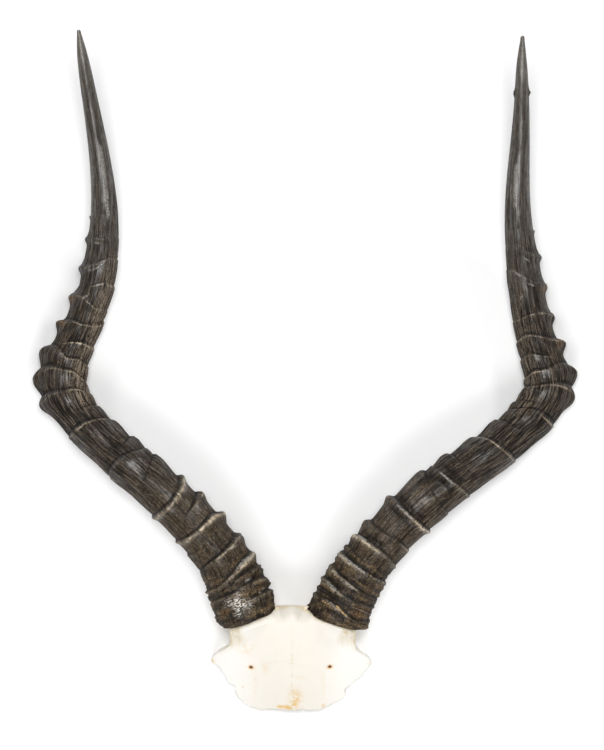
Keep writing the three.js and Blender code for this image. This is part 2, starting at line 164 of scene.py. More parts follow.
MARK_RADIUS = 22.0  # the marks' places are given on a horn of this radius
GRAIN_RADIUS = 15.0  # the grain is laid on a straight bar of this radius


def eased(x):
    """0 below 0, 1 above 1, and between them 3x^2 - 2x^3, which starts and ends level."""
    x = np.clip(x, 0, 1)
    return x * x * (3 - 2 * x)


def bell(x):
    """The bell curve exp(-x^2): 1 at 0, about a third at 1 and hardly anything past 2."""
    return np.exp(-(x**2))


def spline_through(places, rows, at):
    """Natural cubic spline: cubics between the rows whose slope and bend agree at each row,
    with no bend at the two ends."""
    gap = np.diff(places)
    slope = np.diff(rows, axis=0) / gap[:, None]
    inner = np.diag(2 * (gap[:-1] + gap[1:])) + np.diag(gap[1:-1], 1) + np.diag(gap[1:-1], -1)
    bend = np.zeros_like(rows)
    bend[1:-1] = np.linalg.solve(inner, 6 * np.diff(slope, axis=0))
    i = np.clip(np.searchsorted(places, at) - 1, 0, len(gap) - 1)
    width = gap[i][..., None]
    after = (np.asarray(at) - places[i])[..., None]
    before = width - after
    return (
        (bend[i] * before**3 + bend[i + 1] * after**3) / (6 * width)
        + (rows[i] / width - bend[i] * width / 6) * before
        + (rows[i + 1] / width - bend[i + 1] * width / 6) * after
    )


def all_round(values, back):
    """Values at five places from the outer side over the front to the inner side, and at the
    back, joined by straight lines around the horn and blurred by a bell curve. The blur is
    done on the line's waves, each shrunk by its own share."""
    six = np.concatenate([values, [back]])
    line = np.interp(ANGLES, np.radians([-90, -30, 0, 30, 90, 180]), six, period=2 * np.pi)
    harmonic = np.arange(SIDES // 2 + 1)
    blur = np.exp(-0.5 * (harmonic * BLUR) ** 2)
    return np.fft.irfft(np.fft.rfft(line) * blur, SIDES)


def lattice_noise(rng, along, around, across, pitch):
    """Random numbers on a lattice with rows `pitch` apart along the horn and `across` columns
    that close on themselves around it, joined by eased straight lines."""
    down = (along - along.min()) / pitch
    turn = (around / (2 * np.pi) + 0.5) * across
    table = rng.standard_normal((int(down.max()) + 3, across))
    i, j = down.astype(int), np.floor(turn).astype(int) % across
    u, v = eased(down - i), eased(turn - np.floor(turn))
    k = (j + 1) % across
    low = table[i, j] * (1 - v) + table[i, k] * v
    high = table[i + 1, j] * (1 - v) + table[i + 1, k] * v
    return low * (1 - u) + high * u


def ring_rows(rings, rng):
    """Rows of points between each ring's crest and the next, crowded towards the crests.
    Past a crest the surface drops over a short ledge, a bell curve. Up to the next it is an
    eased slope mixed with a bell-shaped roll, and the larger of ledge and rise counts. At the
    outer side of the upper horn a crest is a tooth instead, a bell curve on both sides. Gives
    the distance along the horn, the relief, how worn it is, and how deep in the trough past a crest it lies,
    which lowers the relief and is painted as shade in the colour."""
    crests = []
    for ring in rings:
        at, high, worn, roll = ring[:5], ring[5:10], ring[10:15], ring[15]
        wobble = lattice_noise(rng, np.zeros(SIDES), ANGLES, 14, 1.0)
        back_high = min(BACK_HIGHEST, 0.3 * (high[0] + high[4]))
        crests.append((
            all_round(at, (at[0] + at[4]) / 2) + 0.3 * wobble,
            all_round(high + 0.35 * np.minimum(high, 2.0), back_high),
            all_round(worn, 0.3 * (worn[0] + worn[4])),
            roll,
        ))
    outer = eased((-np.sin(ANGLES) - 0.1) / 0.6)  # 1 at the outer side, 0 from the front inwards
    rows = []
    for (start, low_high, low_worn, low_roll), (end, high, worn, roll) in zip(crests, crests[1:]):
        length = end - start
        count = max(8, round(float(length.mean()) / ROW_PITCH))
        share = np.arange(count)[:, None] / count
        share = share - CROWDING * np.sin(2 * np.pi * share)
        past, left = share * length, (1 - share) * length
        knob = roll + (HIGH_RING_ROLL - roll) * eased((high - 4.0) / 2)
        low_knob = low_roll + (HIGH_RING_ROLL - low_roll) * eased((low_high - 4.0) / 2)
        ledge = low_high * (0.45 + 0.55 * low_knob) * bell(past / (0.6 + 0.5 * low_high))
        slope = (1 - eased(left / (0.95 * length))) * (1 - 0.55 * bell(left / 3.2))
        rise = high * ((1 - knob) * slope + knob * bell(left / (1.4 + 0.5 * high)))
        # How deep the trough past a crest is: it lowers the relief, and the colour paints it as shade
        shaded_groove = np.sqrt(np.maximum(low_high, 0)) * bell((past - 1.0 - 0.55 * low_high) / 0.8)
        pale = low_worn * bell(past / (0.45 + 1.5 * low_roll**2))
        pale = pale + worn * bell(left / (0.65 + 2.8 * roll**2))
        line = low_high * (1 - share) + high * share
        tooth = low_high * bell(past / (1 + 0.85 * low_high)) + high * bell(left / (1.4 + 0.4 * high))
        low_grown, grown = [eased((crest - TEETH_FROM) / TEETH_GROWTH) for crest in (start, end)]
        toothed = outer * (low_grown * (1 - share) + grown * share)
        form = np.maximum(ledge, rise) * (1 - toothed) + 0.8 * (0.2 * line + 0.8 * tooth) * toothed
        rows.append(np.stack([start + past, form - 0.3 * shaded_groove, pale, shaded_groove]))
    return np.concatenate(rows, axis=1)


def broad_relief(swells, along, angle):
    """The sum of height * exp(-(distance/reach)^2 - (turn/reach)^2) over the swellings."""
    far = (along[..., None] - swells[:, 0]) / swells[:, 3]
    turn = np.angle(np.exp(1j * (angle[..., None] - np.radians(swells[:, 1])))) / np.radians(swells[:, 4])
    return np.exp(-far * far - turn * turn) @ swells[:, 2]


def horn_rows(run, rings, swells, seed):
    """The whole outer surface as rows: the ringed part, then the smooth part to the tip, with
    striations, lumps and growth lines added to the relief. Each of them is a sum of lattice
    noises, and a striation is cut wherever its noise passes through 0."""
    rng = np.random.default_rng(seed)
    steps = np.hypot(*np.diff(run[:, :2], axis=0).T)
    places = np.concatenate([[0], np.cumsum(steps)])
    ringed = ring_rows(rings, rng)
    last = ringed[0, -1] + ROW_PITCH
    smooth = np.arange(last.max() + SMOOTH_PITCH, places[-1] - 0.4, SMOOTH_PITCH)
    near = np.arange(FRAYED_AT - FRAYED_REACH, FRAYED_AT + FRAYED_REACH, FRAYED_PITCH)
    smooth = np.sort(np.concatenate([smooth[np.abs(smooth - FRAYED_AT) > FRAYED_REACH], near]))
    plain = np.zeros((4, len(smooth) + 1, SIDES))
    plain[0, 0] = last
    plain[0, 1:] = smooth[:, None]
    along, relief, worn, shaded_groove = np.concatenate([ringed, plain], axis=1)
    angle = np.broadcast_to(ANGLES, along.shape)

    ringed_share = 1 - eased((along - 300) / 90)
    fibre = lattice_noise(rng, along, angle, 84, 30) + 0.6 * lattice_noise(rng, along, angle, 50, 18)
    striation = 0.6 - 1.6 * bell(fibre / 0.45) + 0.25 * fibre
    lumps = lattice_noise(rng, along, angle, 9, 13)
    growth = lattice_noise(rng, along, angle, 9, 1.4) + 0.7 * lattice_noise(rng, along, angle, 22, 2.2)
    base_share = 1 - eased((along - 18) / 60)
    raised = 0.4 + 0.6 * eased((relief - 0.2) / 1.1)
    polish = eased((np.cos(angle) + 0.1) / 0.9) * (1 - ringed_share * (1 - raised))
    rough = (1 - 0.6 * base_share) * (1 - 0.75 * polish)
    relief = relief + ringed_share * (0.16 * striation * rough + 0.25 * lumps)
    relief = relief + 0.55 * growth * base_share + 0.012 * striation
    # The troughs past the crests fade on the upper horn; the striations and the crevices near the base are
    # added, and all of it is painted as shade in the colour
    shaded_groove = shaded_groove * (1 - 0.75 * eased((along - 230) / 70))
    shaded_groove = shaded_groove + (0.2 + 0.8 * ringed_share) * bell(fibre / 0.3) * (1 - 0.5 * base_share)
    shaded_groove = shaded_groove + 0.9 * base_share * bell((growth + 0.7) / 0.35)
    flaky = base_share * eased((growth - 0.3) / 0.8)
    relief = relief + broad_relief(swells, along, angle)
    fields = {"worn": worn, "shaded_groove": shaded_groove, "polish": polish, "flaky": flaky}
    return places, along, angle, relief, fields


def frayed_edge(along, angle, rng):
    """Short splinters that stand off both edges of the right horn near its tip: random
    heights where the surface faces sideways, within a few millimetres of one place."""
    there = bell((along - FRAYED_AT) / 2.4) * np.abs(np.sin(angle)) ** 10
    return there * np.clip(rng.standard_normal(along.shape) * 0.8, 0, 1.5)


def horn_points(run, places, along, angle, width, depth, shift, inner):
    """Each section is upright: its middle on the run, the width level and square to the run,
    and the depth upwards, stretched by the run's slope so that it stays round across it."""
    middle = spline_through(places, run[:, :3], along)
    step = spline_through(places, run[:, :3], along + 0.5) - spline_through(places, run[:, :3], along - 0.5)
    plan = np.hypot(step[..., 0], step[..., 1])
    stretch = np.hypot(1, step[..., 2] / plan)
    side = inner * (np.sin(angle) * width + shift)
    x = middle[..., 0] + step[..., 1] / plan * side
    y = middle[..., 1] - step[..., 0] / plan * side
    z = middle[..., 2] + np.cos(angle) * depth * stretch
    return np.stack([x, y, z], axis=-1)


def stroke(along, angle, start, end, half_width):
    """1 on a stroke over the front half of a horn, falling off as a bell curve to its sides."""
    start, end = np.array(start), np.array(end)
    place = np.stack([along, MARK_RADIUS * np.sin(angle)], axis=-1) - start
    share = np.clip(place @ (end - start) / np.sum((end - start) ** 2), 0, 1)
    far = np.linalg.norm(place - share[..., None] * (end - start), axis=-1)
    return bell(far / half_width) * (np.cos(angle) > -0.3)


def closed_shell(name, rows, fields, flip):
    """A tube of quads through the rows, with each end drawn together to its mean point. Each
    field becomes an attribute of the points."""
    count, around, _ = rows.shape
    points = np.concatenate([rows[0].mean(0)[None], rows.reshape(-1, 3), rows[-1].mean(0)[None]])
    index = 1 + np.arange(count * around).reshape(count, around)
    ahead = np.roll(index, -1, axis=1)
    first = np.stack([np.zeros(around, int), ahead[0], index[0]], axis=-1)
    quads = np.stack([index[:-1], ahead[:-1], ahead[1:], index[1:]], axis=-1).reshape(-1, 4)
    last = np.stack([index[-1], ahead[-1], np.full(around, len(points) - 1)], axis=-1)
    faces = [face[:, ::-1] if flip else face for face in (first, quads, last)]
    corners = np.concatenate([face.ravel() for face in faces])
    sizes = np.concatenate([np.full(len(face), face.shape[1]) for face in faces])
    mesh = bpy.data.meshes.new(name)
    mesh.vertices.add(len(points))
    mesh.vertices.foreach_set("co", (points * MM).astype(np.float32).ravel())
    mesh.loops.add(len(corners))
    mesh.loops.foreach_set("vertex_index", corners.astype(np.int32))
    mesh.polygons.add(len(sizes))
    mesh.polygons.foreach_set("loop_start", (np.cumsum(sizes) - sizes).astype(np.int32))
    mesh.update(calc_edges=True)
    mesh.validate()
    mesh.shade_smooth()
    for field, values in fields.items():
        flat = values.reshape(count * around, -1)
        flat = np.concatenate([flat[:around].mean(0)[None], flat, flat[-around:].mean(0)[None]])
        kind, key = ("FLOAT", "value") if flat.shape[1] == 1 else ("FLOAT_VECTOR", "vector")
        mesh.attributes.new(field, kind, "POINT").data.foreach_set(key, flat.astype(np.float32).ravel())
    piece = bpy.data.objects.new(name, mesh)
    bpy.context.collection.objects.link(piece)
    return piece


# Marks of each horn: strokes from one place to another, each place how far along the horn
# and how far to the inner side of the front, and half the stroke's width. The creases are
# painted shade, and the glints are painted highlights, partly pale scuffs on the upper horns.
MARK_KINDS = ("chalk", "painted_glint", "gold", "amber", "crease_shade")
MARKS = {
    "horn_left_sheath": [
        ("chalk", (14, -6), (9, 6), 3.4), ("chalk", (17, 1), (5, -3), 2.2),
        ("amber", (284.8, -22), (284.8, -20), 3), ("amber", (264.2, -22), (264.2, -20), 3),
        ("amber", (6, -16), (10, -8), 2),
        ("crease_shade", (22, 12), (30, 20), 0.9), ("crease_shade", (29, 2), (34, 12), 0.7),
        ("crease_shade", (2, -18), (3, 4), 0.8), ("crease_shade", (18, 10), (19, 20), 0.8),
        ("crease_shade", (13, -20), (19, -6), 0.7),
        ("painted_glint", (35.2, 7), (38, 13), 0.8), ("painted_glint", (38.4, 15), (38.6, 19), 1.1),
        ("painted_glint", (25.6, 10), (26.5, 14), 0.7), ("painted_glint", (14.5, 16), (16, 19), 0.6),
        ("painted_glint", (50.5, 8), (49, 15), 0.5), ("painted_glint", (8, 2), (12, 9), 0.5),
        ("painted_glint", (398, 6.5), (367, 5.3), 4.2), ("painted_glint", (367, 5.3), (352, 8), 3.4),
        ("painted_glint", (482, 2), (466, 0), 9), ("painted_glint", (331, -9.6), (331, -2.7), 0.9),
        ("painted_glint", (309.5, -12.5), (312, -2.7), 0.7), ("painted_glint", (312, -2.7), (318.5, 6.5), 0.6),
        ("painted_glint", (300.5, 2.7), (302.4, 9.6), 0.9), ("painted_glint", (288.6, -9), (292.5, -4), 1.0),
    ],
    "horn_right_sheath": [
        ("gold", (5.9, 5.3), (2, -4), 0.7), ("gold", (5.1, 15.1), (4.6, 10.2), 0.5),
        ("amber", (3.7, -7.8), (11.9, -18.8), 2.4), ("amber", (30.4, 22), (30.4, 19.5), 2.4),
        ("amber", (305.8, -22), (305.8, -20), 3), ("amber", (260.6, -22), (260.6, -20), 3),
        ("crease_shade", (121, 15), (126.3, -7), 2.4), ("crease_shade", (131.8, 17), (136.2, -5), 2.4),
        ("crease_shade", (84.5, 16), (85.5, -7), 1.5), ("crease_shade", (94.6, 17), (96, -9), 2.2),
        ("crease_shade", (40.5, 18), (40, 0), 1.2), ("crease_shade", (27, 14), (26, -4), 1.1),
        ("crease_shade", (21.5, 19), (18.5, 4), 1.2), ("crease_shade", (11, 20), (9, 2), 1.1),
        ("crease_shade", (2, 14), (0, -4), 0.9), ("crease_shade", (59.5, 19), (61, 0), 1.4),
        ("crease_shade", (104, -9), (121, -11), 0.8),
        ("painted_glint", (37.8, 17.7), (36.8, -2), 0.8), ("painted_glint", (24, 9.6), (22.7, -1.3), 0.6),
        ("painted_glint", (18.7, 18.1), (15.1, 7.8), 0.6), ("painted_glint", (6.4, 10.8), (5.1, 6.5), 0.6),
        ("painted_glint", (55.2, 19.5), (55.6, 12), 1.0), ("painted_glint", (127.2, 11), (129.8, -3), 0.9),
        ("painted_glint", (88.8, 13), (89.8, -2), 0.9), ("painted_glint", (393.5, 7.0), (369.7, 6.0), 4.2),
        ("painted_glint", (476, 0), (462, 0), 9), ("painted_glint", (330.4, -0.7), (325.8, -8.4), 0.7),
        ("painted_glint", (319.8, 11.9), (317, 6.5), 1.0), ("painted_glint", (301, 9.6), (302.4, 7.2), 0.8),
        ("painted_glint", (311, -0.7), (308, -9), 0.6),
    ],
}


def make_horn(name, run, rings, swells, inner, seed):
    """The outer rows, between the round seat in the base and a tip that is rounded off by
    half a ball."""
    places, along, angle, relief, fields = horn_rows(run, rings, swells, seed)
    if inner < 0:
        relief = relief + frayed_edge(along, angle, np.random.default_rng(seed + 1))
    halves = spline_through(places, run[:, 3:], along)
    width, depth = halves[..., 0] + relief, halves[..., 1] + relief
    rim = along[0]

    def level(distance, inset=0.0, radius=None, shift=0.0):
        """One more row of points: set in from the rim, or on a circle of its own radius."""
        around = np.zeros(SIDES)
        if radius is None:
            return rim + distance, width[0] - inset, depth[0] - inset, around
        return around + distance, around + radius, around + radius, around + shift

    # From the middle of the seat to its mouth, then over the rounded rim
    base = [
        level(SEAT_DEPTH, radius=0.5 * SEAT_RADIUS, shift=SEAT_SHIFT),
        level(SEAT_DEPTH, radius=SEAT_RADIUS, shift=SEAT_SHIFT),
        level(0.5 * SEAT_DEPTH, radius=SEAT_RADIUS, shift=SEAT_SHIFT),
        level(0.9, radius=SEAT_RADIUS, shift=SEAT_SHIFT),
        level(0.15, inset=1.6),
        level(-0.25, inset=1.0),
        level(-0.45, inset=0.4),
    ]
    ball = width[-1].mean()
    tip = [
        level(places[-1] + ball * np.sin(turn), radius=ball * np.cos(turn))
        for turn in np.radians([0, 30, 60, 80])
    ]
    outer = np.stack([along, width, depth, np.zeros_like(along)], axis=1)
    table = np.concatenate([np.array(base), outer, np.array(tip)])
    around = np.broadcast_to(ANGLES, (len(table), SIDES))
    points = horn_points(run, places, table[:, 0], around, table[:, 1], table[:, 2], table[:, 3], inner)
    points[..., 2] = np.maximum(points[..., 2], TABLE_GAP)

    def padded(values):
        """A field of the outer rows, carried on unchanged over the base and the tip."""
        return np.concatenate([[values[0]] * len(base), values, [values[-1]] * len(tip)])

    far = table[:, 0]
    bar = [np.cos(around) * GRAIN_RADIUS, np.sin(around) * GRAIN_RADIUS, far]
    grain = {"grain": np.stack(bar, axis=-1) * MM}
    fields = grain | {field: padded(values) for field, values in fields.items()}
    dusty = eased((far - 185) / 25) * (1 - eased((far - 285) / 60)) * eased((around - 0.1) / 0.5)
    fields["dusty"] = dusty * (1 - eased((around - 2.2) / 0.5)) * (1.0 if inner > 0 else RIGHT_DUST)
    for mark in MARK_KINDS:
        strokes = [stroke(far, around, *ends) for kind, *ends in MARKS[name] if kind == mark]
        fields[mark] = np.sum(strokes, axis=0) if strokes else np.zeros_like(around)
    return closed_shell(name, points, fields, flip=inner < 0)


class Term:
    """An output socket of a material. Sums and products with other terms or plain numbers
    add Math nodes."""

    def __init__(self, finish, socket):
        self.finish, self.socket = finish, socket

    def math(self, operation, *terms):
        return self.finish.node("ShaderNodeMath", {"operation": operation}, dict(enumerate(terms)))

    def __add__(self, other):
        return self.math("ADD", self, other)

    def __sub__(self, other):
        return self.math("SUBTRACT", self, other)

    def __rsub__(self, other):
        return self.math("SUBTRACT", other, self)

    def __mul__(self, other):
        return self.math("MULTIPLY", self, other)

    __radd__, __rmul__ = __add__, __mul__

    def size(self):
        """The number without its sign."""
        return self.math("ABSOLUTE", self)

    def between(self, low, high):
        """0 below low and 1 above high, eased in between."""
        settings = {"interpolation_type": "SMOOTHSTEP"}
        sockets = {"Value": self, "From Min": low, "From Max": high}
        return self.finish.node("ShaderNodeMapRange", settings, sockets)


class Finish:
    """The nodes of a material, or of the world. node() adds any node, by its settings and
    its inputs, and gives one of its outputs."""

    def __init__(self, owner):
        self.owner = owner
        owner.use_nodes = True
        self.tree = owner.node_tree
        self.tree.nodes.clear()

    def node(self, kind, settings=None, inputs=None, out=0):
        node = self.tree.nodes.new(kind)
        for key, value in (settings or {}).items():
            setattr(node, key, value)
        for key, value in (inputs or {}).items():
            if isinstance(value, Term):
                self.tree.links.new(value.socket, node.inputs[key])
            else:
                node.inputs[key].default_value = value
        return Term(self, node.outputs[out]) if node.outputs else None

    def field(self, name, out="Fac"):
        return self.node("ShaderNodeAttribute", {"attribute_name": name}, out=out)

    def scaled(self, vector, factors):
        return self.node("ShaderNodeVectorMath", {"operation": "MULTIPLY"}, {0: vector, 1: factors})

    def noise(self, vector, scale, detail, roughness):
        sockets = {"Vector": vector, "Scale": scale, "Detail": detail, "Roughness": roughness}
        return self.node("ShaderNodeTexNoise", inputs=sockets)

    def blend(self, factor, first, second):
        """First colour where the factor is 0, second where it is 1."""
        first, second = [(*c, 1.0) if isinstance(c, tuple) else c for c in (first, second)]
        return self.node("ShaderNodeMix", {"data_type": "RGBA"}, {0: factor, 6: first, 7: second}, out=2)

    def painted(self, colour, coats):
        """Coats of colour over the first one, each blended over the last by its own amount."""
        for amount, paint in coats:
            colour = self.blend(amount, colour, paint)
        return colour

    def bump(self, strength, depth, height):
        """The direction of a surface with this relief, as much as `depth` metres deep."""
        sockets = {"Strength": strength, "Distance": depth, "Height": height}
        return self.node("ShaderNodeBump", inputs=sockets)

    def surface(self, inputs):
        shader = self.node("ShaderNodeBsdfPrincipled", inputs=inputs)
        self.node("ShaderNodeOutputMaterial", inputs={"Surface": shader})
        return self.owner


FIBRE_DEPTH = 0.5 * MM
# The black of dark streaks and specks, also used as painted shade in the troughs and creases
KERATIN_BLACK_AND_SHADE = (0.005, 0.0038, 0.003)
KERATIN_BROWN = (0.041, 0.029, 0.0195)
KERATIN_GREY = (0.036, 0.030, 0.025)
UPPER_GREY = (0.045, 0.040, 0.035)
TIP_GREY = (0.118, 0.108, 0.094)
SOIL = (0.072, 0.048, 0.026)
GOLDEN = (0.26, 0.178, 0.088)
PALE_FIBRE = (0.26, 0.208, 0.152)
AMBER = (0.19, 0.105, 0.045)
GOLD_STREAK = (0.52, 0.36, 0.16)
CHALK = (0.66, 0.62, 0.55)
PAINTED_GLINT = (0.30, 0.285, 0.26)
DUST = (0.28, 0.222, 0.165)
WORN_CREST = (0.48, 0.39, 0.27)


def keratin(name):
    """Dark horn: streaks along the growth, soil, flakes and grit near the base, dust on the inner
    lobes, pale worn crests, and a satin polish on whatever stands out. Painted shade darkens
    the grooves and creases, and painted highlights light up crests and ridges. The stretches
    of the horn are given in metres from its base."""
    finish = Finish(bpy.data.materials.new(name))
    grain = finish.field("grain", out="Vector")
    along = finish.node("ShaderNodeSeparateXYZ", inputs={0: grain}, out=2)
    streak = finish.noise(finish.scaled(grain, (1, 1, 0.06)), 1000, 5, 0.75)
    mottle = finish.noise(grain, 170, 5, 0.6)
    speck = finish.noise(finish.scaled(grain, (1, 1, 0.3)), 1700, 4, 0.8)
    fleck = finish.noise(finish.scaled(grain, (1, 1, 2.2)), 520, 5, 0.7)
    chips = finish.noise(grain, 420, 4, 0.65)
    grit = finish.noise(finish.scaled(grain, (1, 1, 1.6)), 900, 3, 0.6)
    shapes = ("worn", "shaded_groove", "dusty", "polish", "flaky")
    worn, shaded_groove, dusty, polish, flaky = [finish.field(shape) for shape in shapes]
    chalk, painted_glint, gold, amber, crease_shade = [finish.field(mark) for mark in MARK_KINDS]
    base = 1 - along.between(0.02, 0.12)
    lower = 1 - along.between(0.08, 0.17)
    bend = along.between(0.17, 0.21) * (1 - along.between(0.27, 0.31))
    upper = along.between(0.2, 0.3)
    tip = along.between(0.25, 0.40)

    fibres = streak.between(0.53, 0.65) * (0.6 - 0.3 * lower)
    fibres = fibres + speck.between(0.52, 0.70) * (0.5 + 0.25 * lower)
    fibres = fibres + grit.between(0.56, 0.66) * lower * 0.35
    broken = (0.25 + 0.75 * mottle.between(0.40, 0.56)) * (1 - upper * (1 - fleck.between(0.44, 0.58)))
    sparse = grit.between(0.38, 0.56) * (1 - upper * (1 - fleck.between(0.36, 0.52)))
    brown = finish.blend(mottle.between(0.3, 0.7), KERATIN_BROWN, KERATIN_GREY)
    colour = finish.painted(brown, [
        (lower * mottle.between(0.4, 0.55) * 0.75, SOIL),
        (along.between(0.27, 0.33) * mottle.between(0.25, 0.55) * 0.9, UPPER_GREY),
        (along.between(0.42, 0.485) * mottle.between(0.2, 0.6), TIP_GREY),
        (fibres * (1 - 0.4 * base) * (1 - 0.2 * upper), PALE_FIBRE),
        (base * fleck.between(0.54, 0.66) * 0.5 + flaky * fleck.between(0.40, 0.58) * 0.8, GOLDEN),
        (amber * chips.between(0.3, 0.5) * 0.7, AMBER),
        (dusty * speck.between(0.4, 0.55) * 0.75, DUST),
        ((1 - streak.between(0.42, 0.52)) * (0.92 - 0.5 * tip) * (1 - 0.5 * lower), KERATIN_BLACK_AND_SHADE),
        ((1 - grit.between(0.38, 0.47)) * lower * 0.7, KERATIN_BLACK_AND_SHADE),
        ((1 - speck.between(0.36, 0.47)) * 0.9, KERATIN_BLACK_AND_SHADE),
        (worn * worn * chips.between(0.36, 0.52) * broken * 1.8, WORN_CREST),
        # painted highlights: white specks on the worn crests near the base
        (worn * grit.between(0.56, 0.64) * base * 0.8, CHALK),
        # painted shade in the troughs past the crests, along the striations and in the crevices near the
        # base
        (shaded_groove.between(0.2, 1.0) * (0.55 + 0.4 * mottle.between(0.4, 0.6)), KERATIN_BLACK_AND_SHADE),
        # painted shade along the creases, beside the lens-shaped bulges and in the crevices near the base
        (crease_shade * 0.85, KERATIN_BLACK_AND_SHADE),
        (gold.between(0.3, 0.7) * chips.between(0.42, 0.54), GOLD_STREAK),
        (chalk * grit.between(0.5, 0.58), CHALK),
        # painted highlights on the crests, ridges, lens-shaped bulges and tips; the long streaks on the
        # upper horns are partly pale scuffs as well
        (painted_glint.between(0.1, 1.0) * sparse, PAINTED_GLINT),
    ])

    gloss = polish * (1 - 0.75 * dusty) * (1 - 0.5 * base)
    gloss = gloss * (1 + 0.5 * tip * (1 - along.between(0.38, 0.43))) + (worn + chalk) * 0.45
    gloss = gloss * streak.between(0.38, 0.5) * (0.5 + 0.5 * mottle.between(0.35, 0.6))
    gloss = gloss * (1 - 0.4 * bend)
    relief = streak * (1 - 0.6 * tip) + speck * (0.4 + 0.8 * base) + mottle * 0.5 + fleck * base * 1.6
    return finish.surface({
        "Base Color": colour, "Roughness": 0.7, "Normal": finish.bump(0.5, FIBRE_DEPTH, relief),
        "IOR": 1.54, "Specular IOR Level": 0.06,
        "Coat Weight": gloss, "Coat Roughness": 0.29, "Coat IOR": 1.55,
        "Coat Normal": finish.bump(0.16, FIBRE_DEPTH, relief),
    })


# Each horn: its node, run, rings and swellings, +1 where its inner side is to the right of
# the viewer or -1 where it is to the left, and the seed of its random numbers
HORNS = [
    ("horn_left", LEFT_RUN, LEFT_RINGS, LEFT_SWELLS, 1, 11),
    ("horn_right", RIGHT_RUN, RIGHT_RINGS, RIGHT_SWELLS, -1, 29),
]
keratin_finish = keratin("keratin")
for node, run, rings, swells, inner, seed in HORNS:
    sheath = make_horn(node + "_sheath", run, rings, swells, inner, seed)
    sheath.data.materials.append(keratin_finish)
    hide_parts(node)
    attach(sheath, "root")


# ---- The skull plate --------------------------------------------------------------------
# The roof of the skull, sawn off flat below: the forehead between two short bony pegs that
# the horns sit on, with the roofs of the eye sockets on both sides. It is thin bleached
# bone, broken along its lower edges and hollow underneath.

MIDLINE = -10.0
CROWN = np.array([MIDLINE, -207.0])  # the rows of the surface are drawn round this point
REAR_EDGE = -167.0
PLATE_LENGTH = 80.0
PLATE_HALF_WIDTH = 60.5
FOREHEAD_HEIGHT = 50.0
NASAL_HEIGHT = 13.5
SIDE_DROP = 26.0
LOWEST_SIDE = 4.0
SHOULDER_LENGTH = 8.0  # the forehead rounds over towards its rear edge
SHOULDER_DROP = 6.0
REAR_SLANT = 4.5  # the wall behind the forehead leans in by this much down to the table
WALL = 2.4  # least thickness of the bone, away from its rounded edges and its pits

# The outline from above, in order, from the rear edge over the left side to the nasal end
# and back over the right side. The ends of both pegs are in it, hidden in the horns' seats.
PLATE_OUTLINE = np.array([
    [-6.4, -166.3], [-15.3, -166.1], [-21.6, -167.0], [-26, -168.6], [-27.2, -164], [-44, -169],
    [-60.2, -175], [-58.6, -180], [-56.2, -185], [-55.6, -191.3], [-56.2, -197], [-59.3, -199.6],
    [-64.2, -202.4], [-68.7, -205.9], [-70.8, -209.6], [-69.5, -212.2], [-65.4, -213.7], [-62.7, -217.9],
    [-59.5, -222.8], [-56.8, -227.4], [-53.2, -228.8], [-52.5, -232.4], [-51.8, -236.9], [-50, -239.2],
    [-47.7, -241], [-46.4, -242.8], [-41.8, -244.6], [-36.4, -246.4], [-31.9, -246.8], [-24.6, -246.4],
    [-17.4, -246.7], [-12.8, -247.6], [-7.9, -247.4], [-3, -246.5], [2.5, -247.2], [9.8, -247.5],
    [17.1, -244.4], [25.2, -239.6], [28.9, -237.4], [29.8, -233.3], [28.9, -231.9], [37.9, -224.2],
    [41.5, -222.4], [42.9, -219.7], [47.9, -214.2], [49.6, -211.2], [46.3, -206.9], [42.2, -204.1],
    [37.7, -200.6], [36.5, -196.5], [37.2, -191.3], [37.8, -185.5], [39.2, -178], [40.8, -172.6],
    [24, -166.6], [7.2, -162.2], [6.0, -167.2], [2.4, -167.2],
])

# Low relief of the forehead: height, where, and the radius across the plate and along it
LEFT_PIT = (-40.5, -213.2)  # the small round hole above each eye socket
RIGHT_PIT = (17.9, -212.7)
PITS = [(1, LEFT_PIT, (1.5, 1.2)), (1, RIGHT_PIT, (1.4, 1.2))]
PIT_DEPTH = 2.6
GROOVES = [(0.45, (-37.5, -228), (1.6, 13)), (0.45, (12.6, -229), (1.5, 11))]
REAR_BUMPS = [
    (1.5, (-7.6, -172.8), (3.4, 2.8)), (-0.8, (-18.5, -174.5), (6, 4.5)), (-0.8, (1.5, -174.5), (6, 4.5)),
]

# Brown stains: how strong, where, and the radius across the plate and along it
STAINS = [
    (0.9, (-7.6, -236.8), (4.4, 6)), (1.3, (-13, -244.5), (2.6, 1.6)), (1.2, (-18.5, -244.0), (3.2, 1.4)),
    (0.8, (-9, -243.5), (3, 3)), (0.3, (-30, -213), (2.6, 4.6)), (0.4, (-3.4, -220.5), (3.4, 1.1)),
    (0.8, (13.2, -243.6), (1.2, 1.5)), (1.0, (-70, -211), (2.4, 2.2)), (0.8, (49, -212.5), (2.2, 1.4)),
    (0.7, LEFT_PIT, (2.4, 1.8)), (0.7, RIGHT_PIT, (2.4, 1.8)), (1.2, (-46.8, -229.1), (0.6, 0.6)),
    (0.22, (-38, -227), (1.4, 11)), (0.22, (13, -227), (1.4, 10)), (0.3, (-43.5, -198), (6, 5)),
]

# What is hollow below: the middle of a ball stretched or flattened, and its three radii
HOLLOWS = [
    ((MIDLINE, -194, 0), (24, 19, 32)),  # the braincase
    ((MIDLINE, -240, 0), (19, 22, 10)),  # the nasal passage
    ((MIDLINE - 47, -223, -2), (17, 19, 13)),  # the eye sockets
    ((MIDLINE + 45, -223, -2), (17, 19, 13)),
]

# The peg in each horn: the horn's run and rings, and the way its inner side faces
PEGS = [(LEFT_RUN, LEFT_RINGS, 1), (RIGHT_RUN, RIGHT_RINGS, -1)]

